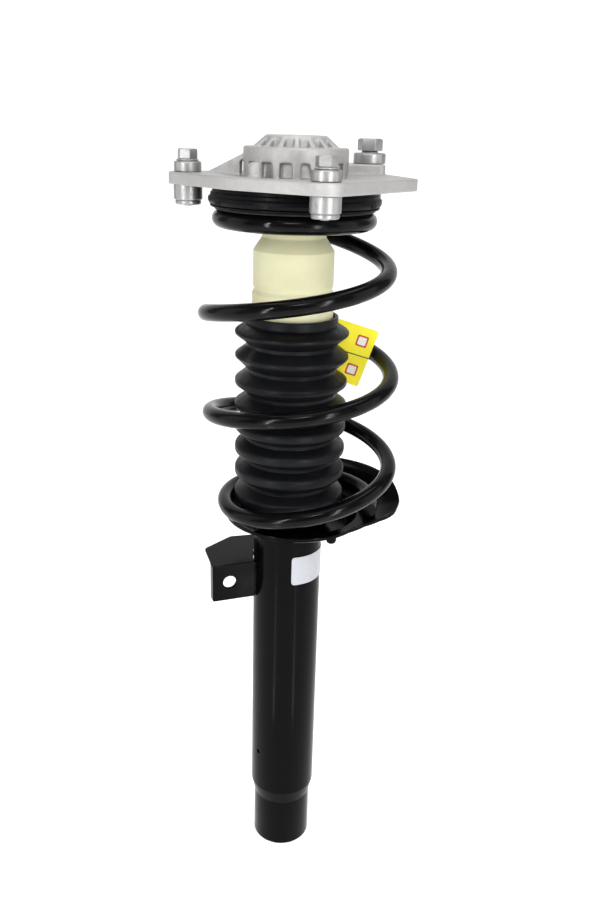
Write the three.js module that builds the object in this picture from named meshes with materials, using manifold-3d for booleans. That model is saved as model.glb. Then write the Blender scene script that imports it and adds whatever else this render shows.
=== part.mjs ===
// MacPherson strut assembly: a twin-tube damper with its coil spring, dust boot,
// bump stop, steering bearing and cast top mount. Millimetres, +Z up along the
// damper axis, origin at the centre of the tube's bottom face.
import * as THREE from 'three';
import { mergeVertices } from 'three/addons/utils/BufferGeometryUtils.js';
import Module from 'manifold-3d';

const wasm = await Module();
wasm.setup();

const { degToRad: radians, radToDeg: degrees } = THREE.MathUtils;

// ---- driving dimensions ----
const GAP = 0.3; // clearance kept between neighbouring pieces

const STUB_R = 25; // lower end, clamped in the knuckle
const STUB_H = 46;
const TUBE_R = 28;
const TUBE_TOP = 378;
const TUBE_BORE = 25.5;
const STUB_BORE = 22.3;
const BASE_THICK = 4;
const LOCATING_HOLE = { r: 2, z: 98, azimuth: 220 }; // shallow witness hole

const GUIDE = { z0: 350, z1: 371 }; // the rod's guide; its seal sits on top
const CAP = { z0: 368, rim: 382, z1: 384, outer: TUBE_R + 1.8 };
const PRESSURE = { outer: 19.5, bore: 17.5, z0: 9.6, z1: 361.7 };
const ROD_R = 11;
const NECK_R = 7; // threaded end of the rod
const ROD_FOOT = 318; // piston end of the rod
const ROD_SHOULDER = 577;
const ROD_TIP = 617.5;

const SEAT = {
  cx: 8, drawn: 76, wellR: 50, floorZ: 316.5, shelfZ: 328.3, thick: 2.7,
  wingHeight: 17, wingAngle: 62, wingFoot: 61, collarZ: 311.5,
};
const SEAT_RIVET = { x: 35.6, y: -27.6, r: 4, z0: 312 };
const SEAT_EDGE = [ // [direction in degrees, radius of the trimmed edge] about the seat's centre
  [-180, 61], [-165, 59.5], [-61, 58.8], [-44, 57.3], [-27, 60.8], [-14, 68.8], [-3, 80], [7, 86],
  [25, 88.5], [65, 87], [110, 84], [131, 84], [163, 71], [180, 61],
];
const BRACKET = {
  reach: 65, root: 24, front: -3, z0: 252.5, z1: 285, thick: 3, turn: 20,
  holeAt: 50.5, holeZ: 269, holeR: 5.5,
};
const SPRING = { wire: 6.25, sides: 10, steps: 96 };
const COIL_BOTTOM = 337.5;
const COIL_TOP = 561;
const COIL_RISE = COIL_TOP - COIL_BOTTOM;
const TURN_POINTS = [ // [turns from the lower tip, height, centreline radius, centre offset in x]
  [0, 0, 59.5, 8], [0.6, 0, 59.5, 8], [1.05, 33, 70, 10], [1.55, 74.4, 70, 7],
  [2.05, 107.4, 70.5, 7], [2.55, 152.4, 70.5, 5], [3.05, 189, 68, 3],
  [3.5, COIL_RISE, 54.5, 0], [4.25, COIL_RISE, 54.5, 0],
];
const SPRING_START = radians(-18);
const PAD_ARC = { from: 20, to: 235, outer: 58.5, inner: 47.5 };

const BOOT = { z0: 331, z1: 489, crest: 44, valley: 35.5, wall: 1.8, folds: 8, collar: 34.5 };
const STOP = { top: 571, bottom: 482, r: 30.5, neck: 24, bore: 11.8 };

const PLATE = { z0: 583, z1: 591.5, r: 68 };
const BOLT_CIRCLE_R = 80;
const BOLT_ANGLES = [173, 285, 45]; // left, front, rear right
const LOBE_R = 14;
const EAR = { x: 74, y: -4 };
const HUB = { r: 38, top: 611, crownR: 21, crownTop: 619, bore: 29.3, mouth: 18.5 };
const BOSS = { x0: 31, x1: 68, y0: 36, y1: 70, top: 599 };
const RIBS = 16;
const RIB_PHASE = -99.8; // degrees, the first pocket's azimuth

const BALLS = 12;
const BALL_R = 2.5;
const RACE_R = 50;
const RACE_Z = 575.6;

// ---- materials ----
const paint = (color, roughness, metalness) =>
  new THREE.MeshStandardMaterial({ color, roughness, metalness });
const blackPaint = () => paint(0x0c0c0d, 0.25, 0.2);
const blackRubber = () => paint(0x16171a, 0.55, 0);
const blackPlastic = () => paint(0x101012, 0.45, 0);
const castAluminium = () => paint(0xbeb9b4, 0.6, 0.7);
const zincSteel = () => paint(0xa9abaa, 0.4, 0.8);
const plainSteel = () => paint(0x8d9094, 0.35, 0.9);
const chromedSteel = () => paint(0xd6d8da, 0.12, 1);
const foam = () => paint(0xdedab2, 0.7, 0);
const paper = (color) => paint(color, 0.7, 0);

// ---- solids ----
const strut = new THREE.Group();

/** Merge shared vertices, drop slivers, and turn the faces outwards. */
function closed(geometry) {
  const bare = geometry.clone();
  for (const name of ['normal', 'uv']) bare.deleteAttribute(name);
  const merged = mergeVertices(bare, 1e-4);
  const place = merged.getAttribute('position');
  const index = merged.getIndex().array;
  const kept = [];
  let volume = 0;
  const [a, b, c] = [new THREE.Vector3(), new THREE.Vector3(), new THREE.Vector3()];
  for (let i = 0; i < index.length; i += 3) {
    const [p, q, r] = [index[i], index[i + 1], index[i + 2]];
    if (p === q || q === r || r === p) continue;
    kept.push(p, q, r);
    a.fromBufferAttribute(place, p);
    b.fromBufferAttribute(place, q);
    c.fromBufferAttribute(place, r);
    volume += a.dot(b.cross(c));
  }
  if (volume < 0) kept.reverse();
  merged.setIndex(kept);
  return merged;
}

function toSolid(geometry) {
  const mesh = closed(geometry);
  return new wasm.Manifold(new wasm.Mesh({
    numProp: 3,
    vertProperties: new Float32Array(mesh.getAttribute('position').array),
    triVerts: new Uint32Array(mesh.getIndex().array),
  }));
}

function toGeometry(solid) {
  const mesh = solid.getMesh();
  const geometry = new THREE.BufferGeometry();
  geometry.setAttribute('position', new THREE.BufferAttribute(mesh.vertProperties, 3));
  geometry.setIndex(new THREE.BufferAttribute(mesh.triVerts, 1));
  return geometry;
}

function join(...geometries) {
  return toGeometry(geometries.map(toSolid).reduce((all, one) => all.add(one)));
}

function cut(body, ...tools) {
  return toGeometry(tools.map(toSolid).reduce((left, tool) => left.subtract(tool), toSolid(body)));
}

/** Revolve [radius, height] points about Z. A ring closes on itself. */
function revolve(points, segments = 28) {
  const profile = points.map(([r, z]) => new THREE.Vector2(r, z));
  if (points[0][0] > 0) profile.push(profile[0].clone());
  return new THREE.LatheGeometry(profile, segments).rotateX(Math.PI / 2);
}

function ring(inner, outer, z0, z1, segments = 28) {
  return revolve([[inner, z0], [outer, z0], [outer, z1], [inner, z1]], segments);
}

function rod(radius, z0, z1, segments = 20) {
  return revolve([[0, z0], [radius, z0], [radius, z1], [0, z1]], segments);
}

/** A flat outline of [x, y] points raised from z0 to z1, with optional holes. */
function slab(outline, z0, z1, holes = []) {
  const shape = new THREE.Shape(outline.map(([x, y]) => new THREE.Vector2(x, y)));
  for (const [x, y, r] of holes) {
    shape.holes.push(new THREE.Path().absarc(x, y, r, 0, 2 * Math.PI, true));
  }
  const settings = { depth: z1 - z0, bevelEnabled: false, curveSegments: 24 };
  return new THREE.ExtrudeGeometry(shape, settings).translate(0, 0, z0);
}

function circle(x, y, r, count) {
  return Array.from({ length: count }, (_, i) => {
    const turn = (2 * Math.PI * i) / count;
    return [x + r * Math.cos(turn), y + r * Math.sin(turn)];
  });
}

/** The convex outline around a set of points. */
function hull(points) {
  const sorted = [...points].sort((a, b) => a[0] - b[0] || a[1] - b[1]);
  const side = (o, a, b) => (a[0] - o[0]) * (b[1] - o[1]) - (a[1] - o[1]) * (b[0] - o[0]);
  const half = (list) => {
    const chain = [];
    for (const p of list) {
      while (chain.length > 1 && side(chain.at(-2), chain.at(-1), p) <= 0) chain.pop();
      chain.push(p);
    }
    return chain.slice(0, -1);
  };
  return [...half(sorted), ...half(sorted.reverse())];
}

function hexagon(acrossFlats, z0, z1, turn = 0) {
  const corners = circle(0, 0, acrossFlats / Math.sqrt(3), 6);
  return slab(corners, z0, z1).rotateZ(turn);
}

function piece(name, geometry, material) {
  const mesh = new THREE.Mesh(closed(geometry), material);
  mesh.name = name;
  strut.add(mesh);
  return mesh;
}

const boltPlace = (angle) => [
  BOLT_CIRCLE_R * Math.cos(radians(angle)),
  BOLT_CIRCLE_R * Math.sin(radians(angle)),
];

/** Smooth step from 0 at a to 1 at b. */
function ease(a, b, x) {
  return THREE.MathUtils.smoothstep(x, a, b);
}

// ---- damper ----
function strutTube() {
  const body = revolve([
    [0, 0], [STUB_R - 1.2, 0], [STUB_R, 1.2], [STUB_R, STUB_H], [STUB_R + 0.7, STUB_H + 5],
    [TUBE_R - 0.7, STUB_H + 10], [TUBE_R, STUB_H + 14], [TUBE_R, TUBE_TOP],
    [TUBE_BORE, TUBE_TOP], [TUBE_BORE, STUB_H + 22], [STUB_BORE, STUB_H + 8],
    [STUB_BORE, BASE_THICK], [0, BASE_THICK],
  ], 40);
  const { r, z, azimuth } = LOCATING_HOLE;
  const drill = new THREE.CylinderGeometry(r, r, 3, 12).rotateZ(Math.PI / 2);
  drill.translate(TUBE_R, 0, 0).rotateZ(radians(azimuth)).translate(0, 0, z);
  piece('strut_tube', cut(body, drill), blackPaint());
}

function damperInside() {
  const { outer, bore, z0, z1 } = PRESSURE;
  piece('pressure_tube', ring(bore, outer, z0, z1, 32), plainSteel());
  piece('base_valve', revolve([
    [0, BASE_THICK + GAP], [21, BASE_THICK + GAP], [21, 7], [19, z0 - GAP], [bore - GAP, z0 - GAP],
    [bore - GAP, 22], [6, 22], [6, 26], [0, 26],
  ], 24), plainSteel());
  piece('rod_guide', revolve([
    [ROD_R + GAP, GUIDE.z0], [bore - GAP, GUIDE.z0], [bore - GAP, z1 + GAP],
    [TUBE_BORE - GAP, z1 + GAP], [TUBE_BORE - GAP, GUIDE.z1], [ROD_R + GAP, GUIDE.z1],
  ], 24), plainSteel());
  const seal = ring(ROD_R + GAP, TUBE_BORE - GAP, GUIDE.z1 + GAP, TUBE_TOP - GAP, 32);
  piece('rod_seal', seal, blackRubber());
  piece('tube_cap', revolve([
    [ROD_R + 1, TUBE_TOP + GAP], [TUBE_R + GAP, TUBE_TOP + GAP], [TUBE_R + GAP, CAP.z0],
    [CAP.outer, CAP.z0], [CAP.outer, CAP.rim], [TUBE_R, CAP.z1], [ROD_R + 1, CAP.z1],
  ], 30), blackPaint());
}

function rodAndPiston() {
  piece('piston_rod', revolve([
    [0, ROD_FOOT - 26], [NECK_R, ROD_FOOT - 26], [NECK_R, ROD_FOOT], [ROD_R, ROD_FOOT],
    [ROD_R, ROD_SHOULDER], [NECK_R, ROD_SHOULDER], [NECK_R, ROD_TIP - 1], [NECK_R - 1, ROD_TIP],
    [0, ROD_TIP],
  ], 32), chromedSteel());
  piece('rebound_stop', ring(ROD_R + GAP, PRESSURE.bore - 1, 336, 349.4, 24), blackRubber());
  piece('rebound_washer', ring(ROD_R + GAP, PRESSURE.bore - 1.2, 333, 336 - GAP, 24), plainSteel());
  const top = ROD_FOOT - GAP;
  piece('piston', revolve([
    [NECK_R + GAP, top - 18], [15.8, top - 18], [15.8, top - 14], [14.2, top - 14],
    [14.2, top - 5], [15.8, top - 5], [15.8, top], [NECK_R + GAP, top],
  ], 24), plainSteel());
  piece('piston_ring', ring(14.2 + GAP, PRESSURE.bore - GAP, top - 14 + GAP, top - 5 - GAP, 32),
    blackPlastic());
  const nut = cut(hexagon(19, top - 26, top - 18 - GAP), rod(NECK_R + GAP, top - 30, top, 24));
  piece('piston_nut', nut, plainSteel());
}

function tubeLabel() {
  const [start, end, count] = [radians(279), radians(395), 16];
  const arc = (r) => Array.from({ length: count + 1 }, (_, i) => {
    const turn = start + ((end - start) * i) / count;
    return [r * Math.cos(turn), r * Math.sin(turn)];
  });
  const outline = [...arc(TUBE_R + 0.7), ...arc(TUBE_R + GAP).reverse()];
  piece('tube_label', slab(outline, 272, 297), paper(0xf2f2f2));
}

// ---- brackets on the tube ----
/** An L of sheet steel, square to a radius of the tube, with a shelf running to the rear. */
function hoseBracket() {
  const { reach, root, front, z0, z1, thick, holeAt, holeZ, holeR, turn } = BRACKET;
  const face = new THREE.Shape([
    new THREE.Vector2(-reach, z0), new THREE.Vector2(-root, z0),
    new THREE.Vector2(-root, z1), new THREE.Vector2(-reach, z1),
  ]);
  face.holes.push(new THREE.Path().absarc(-holeAt, holeZ, holeR, 0, 2 * Math.PI, true));
  const settings = { depth: thick, bevelEnabled: false, curveSegments: 10 };
  const sheet = new THREE.ExtrudeGeometry(face, settings).rotateX(Math.PI / 2);
  sheet.translate(0, front + thick, 0);
  const shelf = slab([
    [-reach, front], [-root, front], [-root, 20], [-14, 34], [-14, 48], [-36, 50], [-reach + 2, 33],
  ], z1 - thick, z1);
  const side = new THREE.BoxGeometry(thick, 10, z1 - z0)
    .translate(-reach + thick / 2, front + 5, (z0 + z1) / 2);
  const whole = join(sheet, shelf, side).rotateZ(radians(turn));
  piece('hose_bracket', cut(whole, rod(TUBE_R + GAP, 240, 300, 40)), blackPaint());
}

/** Radius of the lower seat's edge in a direction given in degrees. */
function seatEdge(direction) {
  const next = SEAT_EDGE.findIndex(([at]) => at >= direction);
  const [a, b] = [SEAT_EDGE[Math.max(next, 1) - 1], SEAT_EDGE[Math.max(next, 1)]];
  return a[1] + ((b[1] - a[1]) * (direction - a[0])) / (b[0] - a[0]);
}

/** Stretch the drawn dish to its trimmed edge and lift its wing. */
function trimSeat(dish) {
  const place = dish.getAttribute('position');
  const inner = SEAT.wellR; // the well inside this radius stays round
  for (let i = 0; i < place.count; i += 1) {
    const [x, y] = [place.getX(i), place.getY(i)];
    const drawn = Math.hypot(x, y);
    if (drawn > inner) {
      const turn = Math.atan2(y, x);
      const edge = seatEdge(degrees(turn));
      const r = inner + ((drawn - inner) * (edge - inner)) / (SEAT.drawn - inner);
      const facing = Math.cos(turn - radians(SEAT.wingAngle));
      const lift = SEAT.wingHeight * ease(SEAT.wingFoot, edge, r) * ease(0.3, 1, facing);
      place.setXYZ(i, r * Math.cos(turn), r * Math.sin(turn), place.getZ(i) + lift);
    }
  }
}

function lowerSeat() {
  const { cx, drawn, floorZ, shelfZ, thick } = SEAT;
  const under = shelfZ - thick;
  const dish = revolve([
    [0, floorZ], [41, floorZ], [48, under - 3], [51, under], [57, under], [64, under],
    [70, under], [drawn, under], [drawn, shelfZ], [70, shelfZ], [64, shelfZ], [57, shelfZ],
    [49, shelfZ], [45, shelfZ - 3], [39, floorZ + thick], [0, floorZ + thick],
  ], 48);
  trimSeat(dish);
  dish.translate(cx, 0, 0);
  const collar = ring(TUBE_R - 1, TUBE_R + 3.5, SEAT.collarZ, floorZ + 5.5, 40);
  const { x, y, r, z0 } = SEAT_RIVET;
  const rivet = rod(r, z0, floorZ + 1.5, 16).translate(x, y, 0);
  const whole = join(dish, collar, rivet);
  piece('lower_spring_seat', cut(whole, rod(TUBE_R + GAP, 290, 345, 40)), blackPaint());
}

// ---- spring ----
/** Slope of column k at knot i: level at the ends and beside a level stretch. */
function knotSlope(i, k) {
  const [before, here, after] = [TURN_POINTS[i - 1], TURN_POINTS[i], TURN_POINTS[i + 1]];
  if (!before || !after || before[k] === here[k] || here[k] === after[k]) return 0;
  return (after[k] - before[k]) / (after[0] - before[0]);
}

function springPoint(turns) {
  const found = TURN_POINTS.findIndex(([t]) => t > turns);
  const next = found < 1 ? TURN_POINTS.length - 1 : found;
  const [a, b] = [TURN_POINTS[next - 1], TURN_POINTS[next]];
  const span = b[0] - a[0];
  const s = (turns - a[0]) / span;
  const column = (k) => a[k] * (1 + 2 * s) * (1 - s) ** 2
    + knotSlope(next - 1, k) * span * s * (1 - s) ** 2
    + b[k] * s * s * (3 - 2 * s)
    + knotSlope(next, k) * span * s * s * (s - 1);
  const turn = SPRING_START + 2 * Math.PI * turns;
  const [z, r, cx] = [column(1), column(2), column(3)];
  return new THREE.Vector3(cx + r * Math.cos(turn), r * Math.sin(turn), COIL_BOTTOM + z);
}

class SpringLine extends THREE.Curve {
  getPoint(t, target = new THREE.Vector3()) {
    return target.copy(springPoint(t * TURN_POINTS.at(-1)[0]));
  }
}

function coilSpring() {
  const section = new THREE.Shape(
    circle(0, 0, SPRING.wire, SPRING.sides).map(([x, y]) => new THREE.Vector2(x, y)));
  const settings = { steps: SPRING.steps, extrudePath: new SpringLine(), bevelEnabled: false };
  piece('coil_spring', new THREE.ExtrudeGeometry(section, settings), blackPaint());
}

function lowerSpringPad() {
  const [from, to] = [radians(PAD_ARC.from), radians(PAD_ARC.to)];
  const arc = (r) => Array.from({ length: 25 }, (_, i) => {
    const turn = from + ((to - from) * i) / 24;
    return [TURN_POINTS[0][3] + r * Math.cos(turn), r * Math.sin(turn)];
  });
  const outline = [...arc(PAD_ARC.outer), ...arc(PAD_ARC.inner).reverse()];
  const top = COIL_BOTTOM - SPRING.wire - GAP;
  piece('lower_spring_pad', slab(outline, SEAT.shelfZ + GAP, top), blackRubber());
}

function upperSpringPad() {
  piece('upper_spring_pad', ring(47, 59, COIL_TOP + SPRING.wire + GAP, 569, 40), blackRubber());
}

// ---- boot and bump stop ----
function dustBoot() {
  const { z0, z1, crest, valley, wall, folds, collar } = BOOT;
  const pitch = (z1 - 9 - z0) / folds;
  const outer = [[valley, z0]];
  for (let fold = 0; fold < folds; fold += 1) {
    const z = z0 + fold * pitch;
    outer.push([crest, z + 0.54 * pitch], [valley, z + pitch]);
  }
  outer.push([collar, z1 - 9], [collar, z1], [collar - wall, z1], [collar - wall, z0]);
  piece('dust_boot', revolve(outer, 28), blackRubber());
}

function bumpStop() {
  const { top, bottom, r, neck, bore } = STOP;
  piece('bump_stop', revolve([
    [bore, bottom], [24, bottom], [29, bottom + 6], [r, bottom + 24], [r - 2, bottom + 27],
    [r, bottom + 30], [r, 539], [neck, 548], [neck, top], [bore, top],
  ], 28), foam());
}

// ---- top bearing ----
function bearing() {
  const groove = RACE_Z - BALL_R;
  piece('upper_spring_seat', revolve([
    [34, 555], [41, 555], [46.5, 557], [46.5, 569.3], [61.5, 569.3], [62, 569.8],
    [62, 570.6], [60.2, 571], [RACE_R + 3, 571], [RACE_R + 3, groove + 0.9],
    [RACE_R, groove - GAP], [RACE_R - 3, groove + 0.9], [RACE_R - 3, 571], [34, 571],
  ], 36), blackPlastic());
  piece('upper_bearing_ring', revolve([
    [27, 579.3], [44, 579.3], [RACE_R - 3, 577.5], [RACE_R, RACE_Z + BALL_R + GAP],
    [RACE_R + 3, 577.5], [61, 577.5], [61, 571.3], [63.5, 571.3], [63.5, 576], [62, 577.5],
    [60, 582.4], [27, 582.4],
  ], 36), blackPlastic());
  const cage = ring(RACE_R - 5, RACE_R + 5, RACE_Z - 1, RACE_Z + 0.9, 36);
  const pockets = Array.from({ length: BALLS }, (_, i) =>
    rod(BALL_R + GAP, RACE_Z - 3, RACE_Z + 3, 10).translate(RACE_R, 0, 0)
      .rotateZ((2 * Math.PI * i) / BALLS));
  piece('bearing_cage', cut(cage, ...pockets), blackPlastic());
  for (let i = 0; i < BALLS; i += 1) {
    const ball = new THREE.SphereGeometry(BALL_R, 8, 6).rotateX(Math.PI / 2);
    ball.translate(RACE_R, 0, RACE_Z).rotateZ((2 * Math.PI * i) / BALLS);
    piece(`bearing_ball_${i + 1}`, ball, plainSteel());
  }
}

// ---- top mount ----
function plateOutline() {
  const lobes = BOLT_ANGLES.map((angle) => circle(...boltPlace(angle), LOBE_R, 32));
  return hull([...circle(0, 0, PLATE.r, 64), ...lobes.flat(), ...circle(EAR.x, EAR.y, LOBE_R, 32)]);
}

function mountCasting() {
  const { z0, z1 } = PLATE;
  const plate = slab(plateOutline(), z0, z1);
  const hub = revolve([
    [0, z0], [HUB.r, z0], [HUB.r, HUB.top - 1], [HUB.r - 1, HUB.top], [31, HUB.top],
    [HUB.crownR, HUB.crownTop], [0, HUB.crownTop],
  ], 44);
  const { x0, x1, y0, y1, top } = BOSS;
  const boss = slab([[x0, y0], [x1, y0], [x1, y1 - 12], [x1 - 10, y1], [x0, y1]], z1 - 1, top);
  const post = rod(4.3, z1 - 1, 600, 16).translate(-27, -44, 0);
  const gusset = new THREE.ExtrudeGeometry(new THREE.Shape([
    new THREE.Vector2(-66, z1 - 1), new THREE.Vector2(-30, z1 - 1), new THREE.Vector2(-30, 609),
    new THREE.Vector2(-37, 606),
  ]), { depth: 6, bevelEnabled: false }).rotateX(Math.PI / 2).translate(0, 3, 0).rotateZ(radians(-12));
  const ribPockets = Array.from({ length: RIBS }, (_, i) =>
    new THREE.BoxGeometry(12, 5, 8).translate(32, 0, HUB.top + 4.6)
      .rotateZ(radians(RIB_PHASE) + (2 * Math.PI * i) / RIBS));
  const sidePockets = Array.from({ length: RIBS }, (_, i) =>
    new THREE.BoxGeometry(9, 8, 10).translate(HUB.r, 0, z1 + 5.3)
      .rotateZ(radians(RIB_PHASE) + (2 * Math.PI * i) / RIBS));
  const holes = BOLT_ANGLES.map((angle) =>
    rod(5.3, z0 - 2, top + 2, 20).translate(...boltPlace(angle), 0));
  const bushBore = revolve([[0, z0 - 1], [HUB.bore, z0 - 1], [HUB.bore, 605], [HUB.mouth, 608],
    [HUB.mouth, 622], [0, 622]], 48);
  const whole = join(plate, hub, boss, post, gusset);
  piece('mount_casting', cut(whole, bushBore, ...ribPockets, ...sidePockets, ...holes), castAluminium());
}

function mountInside() {
  piece('mount_bush', revolve([
    [13.3, 584], [24, 583.3], [29, 586], [29, 603.5], [22, 604.5], [13.3, 603.5],
  ], 28), blackRubber());
  piece('mount_sleeve', ring(NECK_R + GAP, 13, 580, 604.5, 28), plainSteel());
  piece('lower_cup_washer', revolve([
    [NECK_R + GAP, ROD_SHOULDER + GAP], [24, ROD_SHOULDER + GAP], [24, ROD_SHOULDER + 1.6],
    [13, 579.7], [NECK_R + GAP, 579.7],
  ], 28), zincSteel());
  piece('upper_cup_washer', ring(NECK_R + GAP, 17, 604.8, 607.3, 28), zincSteel());
  piece('rod_nut', cut(hexagon(21, 607.6, 616, 0.2), rod(NECK_R + GAP, 600, 620, 24)), zincSteel());
}

function fasteners() {
  BOLT_ANGLES.forEach((angle, i) => {
    const raised = i === 2;
    const base = raised ? BOSS.top : PLATE.z1;
    const collar = raised ? { r: 12.5, h: 8 } : { r: 10, h: 7.5 };
    const head = raised ? { af: 17, h: 8.9, neck: 1.4 } : { af: 13, h: 6.7, neck: 1.6 };
    const neckR = raised ? 6.5 : 8.3;
    const place = boltPlace(angle);
    const under = base + collar.h + GAP;
    const bolt = join(
      rod(4, PLATE.z0 - 15.5, under + 1, 20),
      rod(neckR, under, under + head.neck, 24),
      hexagon(head.af, under + head.neck - 0.1, under + head.neck + head.h, 0.35));
    piece(`mount_bolt_${i + 1}`, bolt.translate(...place, 0), zincSteel());
    const sleeve = revolve([
      [4.4, base + GAP], [collar.r, base + GAP], [collar.r, base + collar.h - 1],
      [collar.r - 1, base + collar.h], [4.4, base + collar.h],
    ], 20).translate(...place, 0);
    piece(`bolt_collar_${i + 1}`, sleeve, zincSteel());
    const low = PLATE.z0 - 14.5;
    const insert = revolve([
      [4.4, low], [9, low], [9.6, low + 3], [10.5, low + 3.4], [10.5, PLATE.z0 - GAP],
      [4.4, PLATE.z0 - GAP],
    ], 20).translate(...place, 0);
    piece(`threaded_insert_${i + 1}`, insert, zincSteel());
  });
}

// ---- tag ----
function springTag() {
  const outline = [[36, 445], [40, 431], [54, 426.5], [69.5, 472.6], [36, 482.6]];
  const card = slab(outline, 0, 0.5).rotateX(Math.PI / 2).translate(0, 27, 0);
  piece('spring_tag', card, paper(0xf2d21c));
}

strutTube();
damperInside();
rodAndPiston();
tubeLabel();
hoseBracket();
lowerSeat();
lowerSpringPad();
upperSpringPad();
coilSpring();
dustBoot();
bumpStop();
bearing();
mountCasting();
mountInside();
fasteners();
springTag();

export default strut;
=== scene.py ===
import math

import bmesh
import bpy
import numpy as np
from mathutils import Matrix, Vector, noise


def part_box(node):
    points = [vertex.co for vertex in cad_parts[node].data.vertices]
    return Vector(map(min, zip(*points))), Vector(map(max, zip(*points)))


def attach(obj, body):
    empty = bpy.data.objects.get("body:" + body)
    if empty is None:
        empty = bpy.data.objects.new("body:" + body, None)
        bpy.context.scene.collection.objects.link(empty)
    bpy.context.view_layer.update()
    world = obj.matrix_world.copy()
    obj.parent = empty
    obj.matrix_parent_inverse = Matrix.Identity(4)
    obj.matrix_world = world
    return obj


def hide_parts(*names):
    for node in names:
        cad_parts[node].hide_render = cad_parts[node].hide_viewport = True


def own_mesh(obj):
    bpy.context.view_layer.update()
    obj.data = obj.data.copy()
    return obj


# A MacPherson strut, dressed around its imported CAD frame. Outlines below are in
# millimetres in the row frame (+Z up along the damper, origin at its foot), and
# build() turns them into metres. Places come from the frame's boxes.

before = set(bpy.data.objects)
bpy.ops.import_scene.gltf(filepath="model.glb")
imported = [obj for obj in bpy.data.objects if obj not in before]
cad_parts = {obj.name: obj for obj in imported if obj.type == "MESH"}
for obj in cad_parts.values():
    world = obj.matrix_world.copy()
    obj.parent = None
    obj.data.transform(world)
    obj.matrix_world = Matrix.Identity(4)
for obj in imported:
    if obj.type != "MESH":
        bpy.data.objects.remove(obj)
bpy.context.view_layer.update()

MM = 0.001
TURN = 2 * math.pi


def box_mm(node):
    """A CAD node's lowest and highest corners, in millimetres."""
    low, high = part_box(node)
    return low / MM, high / MM


def middle_mm(node):
    low, high = box_mm(node)
    return (low + high) / 2


# ---------------------------------------------------------------- mesh helpers


def build(name, points, faces, material, flat_above=35, scale=MM):
    """A new mesh object from points in millimetres, smooth but for its sharp edges."""
    mesh = bpy.data.meshes.new(name)
    mesh.from_pydata([Vector(p) * scale for p in points], [], faces)
    mesh.update()
    piece = bpy.data.objects.new(name, mesh)
    bpy.context.scene.collection.objects.link(piece)
    mesh.materials.append(material)
    weld(piece)
    smooth(piece, flat_above)
    return piece


def weld(piece):
    """Merge doubled points and turn all faces outwards."""
    bm = bmesh.new()
    bm.from_mesh(piece.data)
    bmesh.ops.remove_doubles(bm, verts=bm.verts, dist=1e-6)
    bmesh.ops.dissolve_degenerate(bm, edges=bm.edges, dist=1e-7)
    bmesh.ops.recalc_face_normals(bm, faces=bm.faces)
    bm.to_mesh(piece.data)
    bm.free()


def smooth(piece, flat_above):
    for face in piece.data.polygons:
        face.use_smooth = True
    piece.data.set_sharp_from_angle(angle=math.radians(flat_above))


def bake(piece, flat_above=None):
    """Replace a piece's mesh by the result of its modifiers."""
    graph = bpy.context.evaluated_depsgraph_get()
    mesh = bpy.data.meshes.new_from_object(piece.evaluated_get(graph), depsgraph=graph)
    piece.modifiers.clear()
    piece.data = mesh
    if flat_above is not None:
        smooth(piece, flat_above)
    return piece


def discard(*pieces):
    for piece in pieces:
        bpy.data.objects.remove(piece)


def cut_by(piece, cutter, mode="DIFFERENCE"):
    """Cut a piece by another, or join them, and drop the other."""
    step = piece.modifiers.new("cut", "BOOLEAN")
    step.operation = mode
    step.solver = "EXACT"
    step.object = cutter
    bake(piece)
    discard(cutter)
    return piece


def merged(pieces):
    """One object holding the meshes of several."""
    first, *others = pieces
    bm = bmesh.new()
    for piece in pieces:
        bm.from_mesh(piece.data)
    bm.to_mesh(first.data)
    bm.free()
    discard(*others)
    return first


def recast(piece, voxel, passes=3, strength=0.5):
    """Remesh a joined shape in small voxels and ease it, so that its corners get cast fillets."""
    step = piece.modifiers.new("recast", "REMESH")
    step.mode = "VOXEL"
    step.voxel_size = voxel * MM
    ease = piece.modifiers.new("ease", "SMOOTH")
    ease.factor = strength
    ease.iterations = passes
    bake(piece)
    for face in piece.data.polygons:
        face.use_smooth = True
    return piece


def rounded(outline, closed=True, steps=5):
    """Points of an outline given as (a, b) or (a, b, fillet radius)."""
    points = []
    count = len(outline)
    for i, here in enumerate(outline):
        at_end = not closed and i in (0, count - 1)
        radius = here[2] if len(here) > 2 else 0
        p = Vector(here[:2])
        if radius <= 0 or at_end:
            points.append(tuple(p))
            continue
        before = Vector(outline[i - 1][:2]) - p
        after = Vector(outline[(i + 1) % count][:2]) - p
        half = before.angle(after) / 2
        reach = min(radius / math.tan(half), 0.49 * before.length, 0.49 * after.length)
        a = p + before.normalized() * reach
        b = p + after.normalized() * reach
        for k in range(steps + 1):
            t = k / steps
            points.append(tuple(a * (1 - t) ** 2 + p * 2 * t * (1 - t) + b * t * t))
    return points


def revolve(name, outline, material, segments=128, centre=(0, 0), closed=True, flat_above=35):
    """A turned piece: an outline of (radius, height, fillet) about a vertical axis."""
    profile = rounded(outline, closed)
    count = len(profile)
    points = []
    for k in range(segments):
        c, s = math.cos(TURN * k / segments), math.sin(TURN * k / segments)
        points += [(centre[0] + r * c, centre[1] + r * s, z) for r, z in profile]
    faces = []
    for k in range(segments):
        here, there = k * count, ((k + 1) % segments) * count
        for i in range(count if closed else count - 1):
            j = (i + 1) % count
            faces.append((here + i, here + j, there + j, there + i))
    piece = build(name, points, faces, material, flat_above)
    return piece


def prism(name, outline, z0, z1, material, steps=5):
    """An upright prism over an outline of (x, y, fillet)."""
    profile = rounded(outline, True, steps)
    count = len(profile)
    points = [(x, y, z0) for x, y in profile] + [(x, y, z1) for x, y in profile]
    faces = [tuple(range(count))[::-1], tuple(range(count, 2 * count))]
    faces += [(i, (i + 1) % count, count + (i + 1) % count, count + i) for i in range(count)]
    return build(name, points, faces, material)


def turned(piece, matrix):
    piece.data.transform(matrix)
    return piece


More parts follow.
